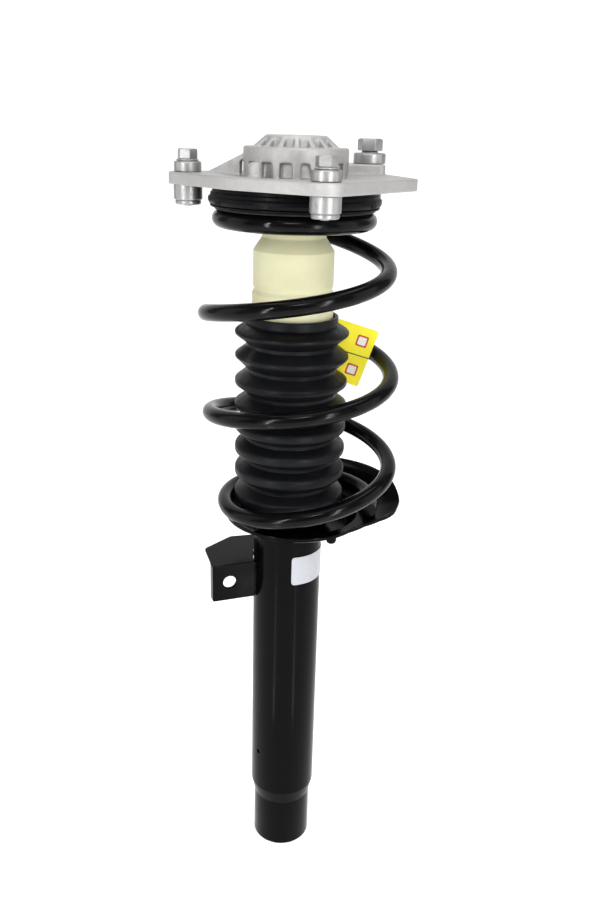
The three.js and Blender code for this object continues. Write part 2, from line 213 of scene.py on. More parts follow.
def about_z(degrees):
    return Matrix.Rotation(math.radians(degrees), 4, "Z")


def shifted(x, y, z):
    return Matrix.Translation(Vector((x, y, z)) * MM)


def ramp(a, b, x):
    """Smooth step from 0 at a to 1 at b."""
    t = min(1, max(0, (x - a) / (b - a)))
    return t * t * (3 - 2 * t)


def wobble(point, size, seed=0):
    """Smooth noise from about -1 to 1, with features of that size in millimetres."""
    return noise.noise(Vector(point) / size + Vector((seed * 7.3, seed * 3.1, seed * 5.7)))


# ------------------------------------------------------------------ materials


class Paint:
    """A small builder for node materials over Object coordinates."""

    def __init__(self, name, color, roughness, metallic=0.0, specular=0.5):
        self.material = bpy.data.materials.new(name)
        self.material.use_nodes = True
        self.nodes = self.material.node_tree.nodes
        self.links = self.material.node_tree.links
        self.shader = self.nodes["Principled BSDF"]
        self.shader.inputs["Base Color"].default_value = (*color, 1)
        self.shader.inputs["Roughness"].default_value = roughness
        self.shader.inputs["Metallic"].default_value = metallic
        self.shader.inputs["Specular IOR Level"].default_value = specular
        self.place = self.nodes.new("ShaderNodeTexCoord").outputs["Object"]
        self.height = None

    def noise(self, size_mm, detail=4.0, roughness=0.55, stretch=(1, 1, 1)):
        """A noise value from 0 to 1 with features of about that size."""
        scaled = self.nodes.new("ShaderNodeMapping")
        scaled.inputs["Scale"].default_value = stretch
        self.links.new(self.place, scaled.inputs["Vector"])
        node = self.nodes.new("ShaderNodeTexNoise")
        node.inputs["Scale"].default_value = 1 / (size_mm * MM)
        node.inputs["Detail"].default_value = detail
        node.inputs["Roughness"].default_value = roughness
        self.links.new(scaled.outputs["Vector"], node.inputs["Vector"])
        return node.outputs["Fac"]

    def cells(self, size_mm):
        node = self.nodes.new("ShaderNodeTexVoronoi")
        node.inputs["Scale"].default_value = 1 / (size_mm * MM)
        self.links.new(self.place, node.inputs["Vector"])
        return node.outputs["Distance"]

    def spread(self, value, low, high, out_low, out_high):
        node = self.nodes.new("ShaderNodeMapRange")
        node.inputs["From Min"].default_value = low
        node.inputs["From Max"].default_value = high
        node.inputs["To Min"].default_value = out_low
        node.inputs["To Max"].default_value = out_high
        self.links.new(value, node.inputs["Value"])
        return node.outputs["Result"]

    def tint(self, factor, other):
        """Mix the colour so far with another by a factor from 0 to 1."""
        mix = self.nodes.new("ShaderNodeMix")
        mix.data_type = "RGBA"
        target = self.shader.inputs["Base Color"]
        if target.links:
            self.links.new(target.links[0].from_socket, mix.inputs["A"])
        else:
            mix.inputs["A"].default_value = target.default_value
        mix.inputs["B"].default_value = (*other, 1)
        self.links.new(factor, mix.inputs["Factor"])
        self.links.new(mix.outputs["Result"], target)
        return self

    def rough(self, value):
        self.links.new(value, self.shader.inputs["Roughness"])
        return self

    def bump(self, value, depth_mm, strength=1.0):
        """Add a bump of that depth under the ones so far."""
        node = self.nodes.new("ShaderNodeBump")
        node.inputs["Strength"].default_value = strength
        node.inputs["Distance"].default_value = depth_mm * MM
        self.links.new(value, node.inputs["Height"])
        if self.height is not None:
            self.links.new(self.height, node.inputs["Normal"])
        self.height = node.outputs["Normal"]
        self.links.new(self.height, self.shader.inputs["Normal"])
        return self


def cast_aluminium():
    paint = Paint("cast_aluminium", (0.455, 0.447, 0.44), 0.5, 0.72)
    paint.tint(paint.spread(paint.noise(28, 6), 0.35, 0.7, 0, 0.55), (0.36, 0.352, 0.345))
    paint.tint(paint.spread(paint.noise(1.4, 3), 0.58, 0.75, 0, 0.6), (0.33, 0.32, 0.31))
    paint.tint(paint.spread(paint.noise(0.9, 2), 0.62, 0.75, 0, 0.5), (0.78, 0.76, 0.74))
    paint.rough(paint.spread(paint.noise(6, 5), 0.3, 0.7, 0.46, 0.68))
    paint.bump(paint.noise(2.2, 5, 0.65), 0.35, 0.6)
    paint.bump(paint.noise(0.55, 3, 0.7), 0.12, 0.7)
    return paint.material


def zinc_steel():
    paint = Paint("zinc_steel", (0.39, 0.39, 0.385), 0.42, 0.9)
    paint.tint(paint.spread(paint.noise(9, 5), 0.4, 0.7, 0, 0.5), (0.25, 0.255, 0.26))
    paint.rough(paint.spread(paint.noise(2.5, 4), 0.3, 0.7, 0.34, 0.52))
    paint.bump(paint.noise(0.6, 3, 0.6), 0.05, 0.5)
    return paint.material


def bright_steel():
    paint = Paint("bright_steel", (0.62, 0.625, 0.63), 0.16, 1.0)
    paint.rough(paint.spread(paint.noise(1.2, 3, stretch=(1, 1, 9)), 0.3, 0.7, 0.1, 0.24))
    return paint.material


def oiled_steel():
    paint = Paint("oiled_steel", (0.30, 0.31, 0.32), 0.3, 1.0)
    paint.rough(paint.spread(paint.noise(2, 4, stretch=(1, 1, 6)), 0.3, 0.7, 0.22, 0.42))
    return paint.material


def gloss_paint():
    paint = Paint("gloss_black_paint", (0.0010, 0.0010, 0.0013), 0.16, specular=0.06)
    paint.tint(paint.spread(paint.noise(45, 6), 0.45, 0.75, 0, 0.5), (0.0022, 0.0021, 0.0020))
    paint.tint(paint.spread(paint.noise(1.1, 2), 0.74, 0.8, 0, 0.35), (0.09, 0.085, 0.08))
    paint.rough(paint.spread(paint.noise(12, 6), 0.3, 0.75, 0.13, 0.24))
    paint.bump(paint.noise(3.2, 2, 0.4), 0.05, 0.35)
    return paint.material


def spring_coat():
    paint = Paint("spring_coating", (0.0018, 0.0018, 0.0022), 0.14, specular=0.12)
    paint.tint(paint.spread(paint.noise(1.3, 2), 0.75, 0.8, 0, 0.35), (0.10, 0.095, 0.09))
    paint.rough(paint.spread(paint.noise(9, 5), 0.3, 0.75, 0.10, 0.27))
    paint.bump(paint.noise(2.4, 2, 0.4), 0.06, 0.4)
    return paint.material


def boot_rubber():
    paint = Paint("boot_rubber", (0.0028, 0.0031, 0.0040), 0.38, specular=0.14)
    paint.tint(paint.spread(paint.noise(18, 6), 0.4, 0.75, 0, 0.6), (0.0065, 0.0068, 0.0080))
    paint.tint(paint.spread(paint.noise(0.9, 2), 0.72, 0.8, 0, 0.3), (0.10, 0.10, 0.10))
    paint.rough(paint.spread(paint.noise(5, 5), 0.3, 0.7, 0.33, 0.52))
    paint.bump(paint.noise(0.7, 3, 0.6), 0.05, 0.45)
    return paint.material


def dull_rubber():
    paint = Paint("dull_rubber", (0.010, 0.010, 0.010), 0.65, specular=0.2)
    paint.tint(paint.spread(paint.noise(7, 5), 0.4, 0.75, 0, 0.6), (0.032, 0.031, 0.030))
    paint.bump(paint.noise(0.5, 3, 0.6), 0.08, 0.5)
    return paint.material


def moulded_plastic():
    paint = Paint("moulded_plastic", (0.0030, 0.0030, 0.0038), 0.36, specular=0.07)
    paint.tint(paint.spread(paint.noise(14, 6), 0.4, 0.75, 0, 0.5), (0.0055, 0.0055, 0.0065))
    paint.rough(paint.spread(paint.noise(4, 5), 0.3, 0.7, 0.28, 0.46))
    paint.bump(paint.noise(0.4, 2, 0.5), 0.03, 0.4)
    return paint.material


def stop_foam():
    paint = Paint("stop_foam", (0.60, 0.59, 0.385), 0.55, specular=0.3)
    paint.tint(paint.spread(paint.noise(24, 5), 0.4, 0.75, 0, 0.7), (0.55, 0.53, 0.32))
    paint.tint(paint.spread(paint.noise(0.8, 2), 0.66, 0.78, 0, 0.45), (0.44, 0.40, 0.22))
    paint.rough(paint.spread(paint.noise(3, 4), 0.3, 0.7, 0.45, 0.68))
    paint.bump(paint.cells(0.9), 0.08, 0.35)
    paint.bump(paint.noise(7, 4, 0.5), 0.25, 0.4)
    paint.shader.inputs["Subsurface Weight"].default_value = 0.12
    paint.shader.inputs["Subsurface Scale"].default_value = 0.004
    return paint.material


def white_vinyl():
    paint = Paint("white_vinyl", (0.40, 0.41, 0.44), 0.3, specular=0.3)
    paint.tint(paint.spread(paint.noise(6, 5), 0.45, 0.75, 0, 0.5), (0.36, 0.37, 0.40))
    paint.bump(paint.noise(4, 3, 0.5), 0.05, 0.4)
    return paint.material


def card(name, color, worn):
    paint = Paint(name, color, 0.55)
    paint.tint(paint.spread(paint.noise(8, 5), 0.42, 0.75, 0, 0.6), worn)
    paint.bump(paint.noise(0.35, 4, 0.7), 0.03, 0.5)
    return paint.material


ALUMINIUM = cast_aluminium()
ZINC = zinc_steel()
BRIGHT = bright_steel()
OILED = oiled_steel()
GLOSS = gloss_paint()
COATING = spring_coat()
BOOT = boot_rubber()
RUBBER = dull_rubber()
PLASTIC = moulded_plastic()
FOAM = stop_foam()
VINYL = white_vinyl()
YELLOW = card("card_yellow", (0.93, 0.83, 0.015), (0.86, 0.74, 0.012))
INK = card("card_ink", (0.015, 0.015, 0.015), (0.03, 0.03, 0.03))
RED = card("card_red", (0.55, 0.035, 0.02), (0.45, 0.03, 0.02))
PAPER = card("card_white", (0.8, 0.79, 0.76), (0.7, 0.69, 0.66))


def place(piece, body, slot, *nodes):
    """Fix a finished piece to a CAD body and hide the CAD nodes it stands for; the slot argument is not used.
    """
    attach(piece, body)
    if nodes:
        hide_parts(*nodes)
    return piece


# --------------------------------------------------------------- damper pieces

TUBE_R = 28.0
STUB_R = 25.0
SEAT_C = 8.0  # the lower seat's centre in x
SEAT_EDGE = [  # direction in degrees and radius of the trimmed edge, about the seat's centre
    (-180, 61), (-165, 59.5), (-61, 58.8), (-44, 57.3), (-27, 60.8), (-14, 68.8), (-3, 80), (7, 86),
    (25, 88.5), (65, 87), (110, 84), (131, 84), (163, 71), (180, 61),
]


def drum(name, radius, z0, z1, material, segments=48, centre=(0, 0)):
    outline = [(0, z0), (radius, z0), (radius, z1), (0, z1)]
    return revolve(name, outline, material, segments, centre, closed=False)


def strut_tube():
    low, high = box_mm("strut_tube")
    tube = revolve("strut_tube_painted", [
        (0, low.z), (STUB_R, low.z, 1.6), (STUB_R, 47, 4), (TUBE_R, 59.5, 5), (TUBE_R, high.z, 0.6),
        (25.5, high.z), (25.5, 68), (22.3, 54), (22.3, 4), (0, 4),
    ], GLOSS, 192, closed=False)
    drill = drum("witness_drill", 2.0, -2.5, 2.5, GLOSS, 32)
    turned(drill, Matrix.Rotation(math.radians(90), 4, "Y"))
    turned(drill, about_z(220) @ shifted(TUBE_R, 0, 98))
    cut_by(tube, drill)
    smooth(tube, 35)
    place(tube, "strut_body", "black_paint", "strut_tube")
    cap_low, cap_high = box_mm("tube_cap")
    cap = revolve("tube_cap_pressed", [
        (12, 378.4), (28.3, 378.4, 0.8), (28.3, cap_low.z), (29.8, cap_low.z, 0.5),
        (29.8, cap_high.z, 2.5), (12, cap_high.z, 0.6),
    ], GLOSS, 96)
    place(cap, "strut_body", "black_paint", "tube_cap")


def weld_bead(name, path, width):
    """A rippled bead of weld along a path of points."""
    rings, sides = [], 12
    count = len(path)
    for i, point in enumerate(path):
        p = Vector(point)
        ahead = Vector(path[min(i + 1, count - 1)]) - Vector(path[max(i - 1, 0)])
        ahead.normalize()
        side = ahead.cross(Vector((0, 0, 1)))
        side = side.normalized() if side.length > 0.1 else Vector((1, 0, 0))
        up = side.cross(ahead)
        taper = min(1, 4 * min(i, count - 1 - i) / count + 0.35)
        r = width * taper * (1 + 0.10 * math.sin(i * 1.9) + 0.10 * wobble(p, 4, 3))
        rings.append([
            p + side * r * math.cos(TURN * k / sides) + up * r * math.sin(TURN * k / sides)
            for k in range(sides)
        ])
    points = [q for ring in rings for q in ring]
    faces = [tuple(range(sides))[::-1], tuple(range((count - 1) * sides, count * sides))]
    for i in range(count - 1):
        for k in range(sides):
            a, b = i * sides + k, i * sides + (k + 1) % sides
            faces.append((a, b, b + sides, a + sides))
    bead = build(name, points, faces, GLOSS, 60)
    place(bead, "strut_body", "black_paint")
    return bead


def seat_edge(x, y):
    """Radius of the seat's edge in the direction of a point measured from its centre."""
    directions, radii = zip(*SEAT_EDGE)
    return float(np.interp(math.degrees(math.atan2(y, x)), directions, radii)) - 0.4


def seat_height(x, y):
    """Mid-height of the lower seat's sheet at a point measured from its centre."""
    d, edge = math.hypot(x, y), seat_edge(x, y)
    facing = math.cos(math.atan2(y, x) - math.radians(62))
    lift = 16.5 * ramp(61, edge + 0.1, d) * ramp(0.3, 1, facing)
    return 317.9 + 9.0 * ramp(40, 50, d) + 0.6 * ramp(edge - 4, edge, d) + lift


def lower_seat():
    around, across, collar_rows = 216, 56, 7
    hole = TUBE_R + 1.6
    points = []
    for k in range(around):
        c, s = math.cos(TURN * k / around), math.sin(TURN * k / around)
        inner = Vector((hole * c - SEAT_C, hole * s))
        reach = seat_edge(c, s)
        outer = Vector((reach * c, reach * s))
        foot = seat_height(*inner)
        for i in range(collar_rows):
            t = i / collar_rows
            drop = (1 - t) * (foot - 312.6) + 2.0 * t
            points.append((inner.x + SEAT_C + 0.5 * t * t * c, inner.y + 0.5 * t * t * s, foot - drop))
        for i in range(across + 1):
            t = i / across
            p = inner.lerp(outer, t)
            blend = ramp(0, 0.06, t)
            points.append((p.x + SEAT_C, p.y, seat_height(*p) - 1.5 * (1 - blend)))
    rows = collar_rows + across + 1
    faces = []
    for k in range(around):
        here, there = k * rows, ((k + 1) % around) * rows
        faces += [(here + i, here + i + 1, there + i + 1, there + i) for i in range(rows - 1)]
    seat = build("lower_seat_stamping", points, faces, GLOSS, 60)
    thick = seat.modifiers.new("thick", "SOLIDIFY")
    thick.thickness = 2.5 * MM
    thick.offset = 0
    edge = seat.modifiers.new("edge", "BEVEL")
    edge.width = 0.7 * MM
    edge.segments = 3
    edge.limit_method = "ANGLE"
    edge.angle_limit = math.radians(60)
    bake(seat, 50)
    place(seat, "strut_body", "black_paint", "lower_spring_seat")

    stud = revolve("lower_seat_rivet", [
        (0, 311.6), (3.4, 311.6, 1.8), (4.2, 314.5, 0.8), (4.2, 317.5), (0, 317.5),
    ], GLOSS, 40, (35.6, -27.6), closed=False)
    place(stud, "strut_body", "black_paint")
    ring = [(29.6 * math.cos(TURN * k / 90), 29.6 * math.sin(TURN * k / 90), 313.0) for k in range(91)]
    weld_bead("lower_seat_weld", ring, 1.7)


def hose_bracket():
    """Radial face with a hole and a shelf to the rear, laid out square and then turned."""
    low, high = box_mm("hose_bracket")
    z0, z1 = low.z, high.z
    reach, root, front, sheet, turn = 65.0, 24.0, -3.0, 2.8, 20.0
    face = prism("hose_bracket_pressing", [
        (-reach, z0, 2.5), (-root, z0), (-root, z1), (-reach, z1),
    ], -front - sheet, -front, GLOSS)
    turned(face, Matrix.Rotation(math.radians(90), 4, "X"))
    shelf = prism("shelf", [
        (-reach, front), (-root, front), (-root, 20), (-14, 34), (-14, 48, 3), (-36, 50, 5),
        (-reach + 2, 33, 5),
    ], z1 - sheet, z1, GLOSS)
    side = prism("side", [
        (-reach, front), (-reach + sheet, front), (-reach + sheet, front + 9, 1), (-reach, front + 9, 1),
    ], z0 + 0.5, z1, GLOSS)
    cut_by(face, shelf, "UNION")
    cut_by(face, side, "UNION")
    drill = drum("drill", 5.5, -8, 8, GLOSS, 40)
    turned(drill, shifted(-50.5, -1.5, 269) @ Matrix.Rotation(math.radians(90), 4, "X"))
    cut_by(face, drill)
    turned(face, about_z(turn))
    cut_by(face, drum("clear", TUBE_R + 0.35, 230, 310, GLOSS, 96))
    recast(face, 0.55, 3)
    place(face, "strut_body", "black_paint", "hose_bracket")
    end = math.radians(200)
    weld_bead("hose_bracket_weld", [
        (TUBE_R * math.cos(end) + 0.6, TUBE_R * math.sin(end) - 1.5, z0 + 2 + 26 * k / 30)
        for k in range(31)
    ], 1.7)


def tube_label():
    low, high = box_mm("tube_label")
    start, end, corner = math.radians(279), math.radians(395), 2.5
    radius, columns, rows = TUBE_R + 0.35, 72, 8
    length = radius * (end - start)
    points, faces = [], []
    for i in range(columns + 1):
        along = length * i / columns
        near = min(along, length - along)
        inset = 0 if near > corner else corner - math.sqrt(max(0, corner**2 - (corner - near) ** 2))
        turn = start + along / radius
        lift = 0.10 * max(0, wobble((along, 0, 0), 6, 2))
        for j in range(rows + 1):
            z = low.z + inset + (high.z - low.z - 2 * inset) * j / rows
            points.append(((radius + lift) * math.cos(turn), (radius + lift) * math.sin(turn), z))
    for i in range(columns):
        for j in range(rows):
            a = i * (rows + 1) + j
            faces.append((a, a + rows + 1, a + rows + 2, a + 1))
    label = build("tube_label_blank", points, faces, VINYL, 60)
    thick = label.modifiers.new("thick", "SOLIDIFY")
    thick.thickness = 0.22 * MM
    thick.offset = 0
    bake(label, 50)
    place(label, "strut_body", "white_label", "tube_label")


# ---------------------------------------------------------------------- spring

WIRE_R = 6.25
COIL_BOTTOM = 337.5
COIL_KNOTS = [  # turns from the lower tip, height, centreline radius, centre offset in x
    (0, 0, 59.5, 8), (0.6, 0, 59.5, 8), (1.05, 33, 70, 10), (1.55, 74.4, 70, 7), (2.05, 107.4, 70.5, 7),
    (2.55, 152.4, 70.5, 5), (3.05, 189, 68, 3), (3.5, 223.5, 54.5, 0), (4.25, 223.5, 54.5, 0),
]
COIL_START = math.radians(-18)


def knot_slope(i, k):
    """Slope of column k at knot i: level at the ends and beside a level stretch."""
    if i in (0, len(COIL_KNOTS) - 1):
        return 0
    before, here, after = COIL_KNOTS[i - 1 : i + 2]
    if before[k] == here[k] or here[k] == after[k]:
        return 0
    return (after[k] - before[k]) / (after[0] - before[0])


def coil_point(turns):
    ahead = [i for i, knot in enumerate(COIL_KNOTS) if knot[0] > turns]
    i = ahead[0] if ahead else len(COIL_KNOTS) - 1
    a, b = COIL_KNOTS[i - 1], COIL_KNOTS[i]
    span = b[0] - a[0]
    s = (turns - a[0]) / span

    def column(k):
        return (
            a[k] * (1 + 2 * s) * (1 - s) ** 2
            + knot_slope(i - 1, k) * span * s * (1 - s) ** 2
            + b[k] * s * s * (3 - 2 * s)
            + knot_slope(i, k) * span * s * s * (s - 1)
        )

    turn = COIL_START + TURN * turns
    z, r, cx = column(1), column(2), column(3)
    return (cx + r * math.cos(turn), r * math.sin(turn), COIL_BOTTOM + z)


def round_wire(radius, sides, material):
    """Geometry nodes that give a line of edges a round section, which stays round as the line moves."""
    group = bpy.data.node_groups.new("round_wire", "GeometryNodeTree")
    group.interface.new_socket("Geometry", in_out="INPUT", socket_type="NodeSocketGeometry")
    group.interface.new_socket("Geometry", in_out="OUTPUT", socket_type="NodeSocketGeometry")
    steps = [group.nodes.new(kind) for kind in (
        "NodeGroupInput", "GeometryNodeMeshToCurve", "GeometryNodeCurveToMesh",
        "GeometryNodeSetMaterial", "GeometryNodeSetShadeSmooth", "NodeGroupOutput",
    )]
    section = group.nodes.new("GeometryNodeCurvePrimitiveCircle")
    section.inputs["Radius"].default_value = radius * MM
    section.inputs["Resolution"].default_value = sides
    steps[2].inputs["Fill Caps"].default_value = True
    steps[3].inputs["Material"].default_value = material
    for one, other in zip(steps, steps[1:]):
        target = "Curve" if other.bl_idname == "GeometryNodeCurveToMesh" else 0
        group.links.new(one.outputs[0], other.inputs[target])
    group.links.new(section.outputs[0], steps[2].inputs["Profile Curve"])
    return group


def coil_spring():
    count = 560
    last = COIL_KNOTS[-1][0]
    mesh = bpy.data.meshes.new("coil_spring_wire")
    line = [Vector(coil_point(last * i / count)) * MM for i in range(count + 1)]
    mesh.from_pydata(line, [(i, i + 1) for i in range(count)], [])
    mesh.materials.append(COATING)
    spring = bpy.data.objects.new("coil_spring_wire", mesh)
    bpy.context.scene.collection.objects.link(spring)
    section = spring.modifiers.new("round_wire", "NODES")
    section.node_group = round_wire(WIRE_R, 32, COATING)
    place(spring, "strut_body", "spring_coating", "coil_spring")
    squash_with_travel(spring)


def squash_with_travel(piece):
    """Give a piece its own copy of its mesh."""
    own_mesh(piece)


def spring_pads():
    low, high = box_mm("lower_spring_pad")
    start, end, steps = math.radians(20), math.radians(235), 60
    cx = COIL_KNOTS[0][3]
    arc = [start + (end - start) * i / steps for i in range(steps + 1)]
    outline = [(cx + 58.5 * math.cos(t), 58.5 * math.sin(t)) for t in arc]
    outline += [(cx + 47.5 * math.cos(t), 47.5 * math.sin(t)) for t in reversed(arc)]
    pad = prism("lower_spring_pad_rubber", outline, low.z, high.z, RUBBER)
    place(pad, "strut_body", "black_rubber", "lower_spring_pad")
    low, high = box_mm("upper_spring_pad")
    pad = revolve("upper_spring_pad_rubber", [
        (47, low.z, 0.4), (59, low.z, 0.7), (59, high.z, 0.4), (47, high.z, 0.4),
    ], RUBBER, 128)
    place(pad, "spring_seat", "black_rubber", "upper_spring_pad")


# ----------------------------------------------------------- boot and bump stop

BOOT_CRESTS = [344.5, 365.5, 384, 402.5, 419.5, 438.5, 458.5, 477]
CREST_R = 44.0
VALLEY_R = 35.4
BELLOWS_TOP = 481.0


def boot_outline():
    """The bellows' outer line from the foot to the collar: rounded crests and tighter valleys."""
    foot = box_mm("dust_boot")[0].z
    outline = [(VALLEY_R + 1, foot + 0.2), (VALLEY_R + 2.2, foot + 2.5, 1)]
    for i, crest in enumerate(BOOT_CRESTS):
        below = BOOT_CRESTS[i - 1] if i else 2 * BOOT_CRESTS[0] - BOOT_CRESTS[1]
        above = BOOT_CRESTS[i + 1] if i + 1 < len(BOOT_CRESTS) else 2 * crest - below
        pitch = (above - below) / 2
        sharp = ramp(2, 7, i)
        shoulder = (0.17 - 0.11 * sharp) * pitch
        if i:
            middle = (below + crest) / 2
            outline += [(VALLEY_R, middle - 1.5, 0.9), (VALLEY_R + 0.3, middle + 1.3, 0.7)]
        outline.append((CREST_R - 0.1, crest - shoulder, 3.6 - 1.9 * sharp))
        outline.append((CREST_R - 0.1, crest + shoulder, 3.6 - 1.9 * sharp))
    outline.append((VALLEY_R - 0.5, BELLOWS_TOP + 3.0, 1.5))
    return outline


def dent(point, centre, size, depth):
    """Push a point towards the axis near a centre, by a soft-edged depth."""
    away = Vector(((point - centre).x / size[0], (point - centre).y / size[1], (point - centre).z / size[2]))
    inward = Vector((-point.x, -point.y, 0)).normalized()
    return point + inward * depth * math.exp(-away.length_squared)


def dust_boot():
    outer = rounded(boot_outline(), closed=False, steps=5)
    wall = 1.5
    inner = [(r - wall, z) for r, z in reversed(outer)]
    profile = outer + inner
    boot = revolve("dust_boot_bellows", profile, BOOT, 160, flat_above=50)
    pinch = Vector((-38, -22, 462))
    for vertex in boot.data.vertices:
        p = vertex.co / MM
        around = Vector((p.x, p.y, 0))
        p += around.normalized() * 0.35 * wobble(p, 26, 1)
        p.z += 0.5 * wobble(p, 60, 2) * ramp(338, 352, p.z) * (1 - ramp(470, 483, p.z))
        vertex.co = dent(p, pinch, (12, 12, 7), 4.5) * MM
    place(boot, "strut_body", "boot_rubber", "dust_boot")
    squash_with_travel(boot)

    top = box_mm("dust_boot")[1].z
    collar = revolve("dust_boot_collar", [
        (33.0, BELLOWS_TOP + 0.6), (36.6, BELLOWS_TOP + 0.6, 0.8), (35.4, BELLOWS_TOP + 3.4, 1.5),
        (35.2, top + 1.0, 0.9), (32.6, top + 1.0, 0.6), (32.4, BELLOWS_TOP + 0.6, 0.4),
    ], BOOT, 144)
    place(collar, "top_mount", "boot_rubber")


def bump_stop():
    low, high = box_mm("bump_stop")
    stop = revolve("bump_stop_foam", [
        (11.9, low.z + 0.2), (22, low.z + 0.2, 3), (29.8, low.z + 8, 3), (31, 488, 2), (31, 496, 2),
        (31, 507, 1.5), (29.4, 510, 1.4), (30.4, 513, 1.5), (30.4, 538.5, 2.0), (24, 548, 2.5),
        (24, high.z, 1), (11.9, high.z),
    ], FOAM, 144)
    for vertex in stop.data.vertices:
        p = vertex.co / MM
        around = Vector((p.x, p.y, 0))
        if around.length > 20:
            p += around.normalized() * 0.22 * wobble(p, 16, 5)
        vertex.co = p * MM
    place(stop, "top_mount", "foam", "bump_stop")
    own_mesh(stop)


# ------------------------------------------------------------- inside the tube

ROD_R = 11.0
NECK_R = 7.0


def hex_radius(across, degrees):
    """Distance from a hexagon's centre to its edge in a direction."""
    return across / 2 / math.cos(math.radians((degrees + 30) % 60 - 30))


def hexagon(name, across, z0, z1, material, centre=(0, 0), turn=0.0, bore=0.0, dish=0.0):
    """A hexagon head or nut with a turned chamfer on top, and a bore or a shallow dish."""
    count, flat = 96, 0.95 * across / 2
    chamfer = math.tan(math.radians(28))
    points = []
    for k in range(count):
        angle = 360 * k / count
        edge = hex_radius(across, angle)
        top = z1 - max(0, edge - flat) * chamfer
        bottom = z0 + max(0, edge - flat) * chamfer * (0.6 if bore else 0.1)
        column = [(bore, z0), (flat * 0.97, z0), (edge, bottom), (edge, top), (flat, z1)]
        column += [(flat * 0.74, z1), (flat * 0.66, z1 - dish), (bore, z1 - dish)]
        rows = len(column)
        c, s = math.cos(math.radians(angle + turn)), math.sin(math.radians(angle + turn))
        points += [(centre[0] + r * c, centre[1] + r * s, z) for r, z in column]
    faces = []
    for k in range(count):
        here, there = k * rows, ((k + 1) % count) * rows
        faces += [
            (here + i, here + (i + 1) % rows, there + (i + 1) % rows, there + i)
            for i in range(rows if bore else rows - 1)
        ]
    head = build(name, points, faces, material, 24)
    edge = head.modifiers.new("edge", "BEVEL")
    edge.width = 0.22 * MM
    edge.segments = 2
    edge.limit_method = "ANGLE"
    edge.angle_limit = math.radians(24)
    return bake(head, 24)


def threaded(name, radius, pitch, z0, z1, material, centre=(0, 0), crown=1.0):
    """A threaded stud with rolled ridges and a chamfered end at z0 or z1."""
    turns_z = (z1 - z0) / pitch
    around, steps = 40, int(turns_z * 8)
    depth = 0.32 * pitch
    points = []
    for k in range(around):
        c, s = math.cos(TURN * k / around), math.sin(TURN * k / around)
        points.append((centre[0], centre[1], z0))
        for i in range(steps + 1):
            z = z0 + (z1 - z0) * i / steps
            wave = 0.5 + 0.5 * math.cos(TURN * ((z - z0) / pitch - k / around))
            end = min(z - z0, z1 - z)
            r = radius - depth * wave - max(0, crown - end)
            points.append((centre[0] + r * c, centre[1] + r * s, z))
        points.append((centre[0], centre[1], z1))
    rows = steps + 3
    faces = []
    for k in range(around):
        here, there = k * rows, ((k + 1) % around) * rows
        faces += [(here + i, here + i + 1, there + i + 1, there + i) for i in range(rows - 1)]
    return build(name, points, faces, material, 75)


def damper_inside():
    """The pieces that the tube and the boot hide, each a plain turned shape."""
    tube, guide, seal = box_mm("pressure_tube"), box_mm("rod_guide"), box_mm("rod_seal")
    valve, piston, ring = box_mm("base_valve"), box_mm("piston"), box_mm("piston_ring")
    stop, washer = box_mm("rebound_stop"), box_mm("rebound_washer")
    foot, top = piston[0].z, piston[1].z
    band_low, band_high = ring[0].z - 0.3, ring[1].z + 0.3
    turned_pieces = [
        ("pressure_tube", [(17.5, tube[0].z), (19.5, tube[0].z), (19.5, tube[1].z), (17.5, tube[1].z)],
         OILED, "strut_body", "plain_steel"),
        ("base_valve", [(0, 4.3), (21, 4.3), (21, 7, 0.5), (19, 9.3), (17.2, 9.3), (17.2, 22, 1), (6, 22),
                        (6, valve[1].z, 0.6), (0, valve[1].z)], OILED, "strut_body", "plain_steel"),
        ("rod_guide", [(11.3, guide[0].z, 0.6), (17.2, guide[0].z, 0.8), (17.2, 362), (25.2, 362, 0.5),
                       (25.2, guide[1].z, 0.5), (11.3, guide[1].z, 0.5)], OILED, "strut_body", "plain_steel"),
        ("rod_seal", [(11.3, seal[0].z), (25.2, seal[0].z, 0.5), (25.2, seal[1].z, 0.8),
                      (14, seal[1].z, 0.8), (12.5, 374), (11.3, 375.5)],
         RUBBER, "strut_body", "black_rubber"),
        ("rebound_stop", [(11.3, stop[0].z), (16.5, stop[0].z, 1.5), (16.5, stop[1].z, 3),
                          (11.3, stop[1].z)], RUBBER, "top_mount", "black_rubber"),
        ("rebound_washer", [(11.3, washer[0].z), (16.3, washer[0].z, 0.5), (16.3, washer[1].z, 0.5),
                            (11.3, washer[1].z)], OILED, "top_mount", "plain_steel"),
        ("piston", [(7.3, foot), (15.8, foot, 0.5), (15.8, band_low), (14.2, band_low), (14.2, band_high),
                    (15.8, band_high), (15.8, top, 0.5), (7.3, top)], OILED, "top_mount", "plain_steel"),
        ("piston_ring", [(14.5, ring[0].z), (17.2, ring[0].z, 0.4), (17.2, ring[1].z, 0.4),
                         (14.5, ring[1].z)], PLASTIC, "top_mount", "black_plastic"),
    ]
    for node, outline, material, body, slot in turned_pieces:
        on_axis = outline[0][0] == 0
        piece = revolve(node + "_turned", outline, material, 96, closed=not on_axis)
        place(piece, body, slot, node)
    nut = box_mm("piston_nut")
    piece = hexagon("piston_nut_cut", 19, nut[0].z, nut[1].z, OILED, bore=7.3)
    place(piece, "top_mount", "plain_steel", "piston_nut")


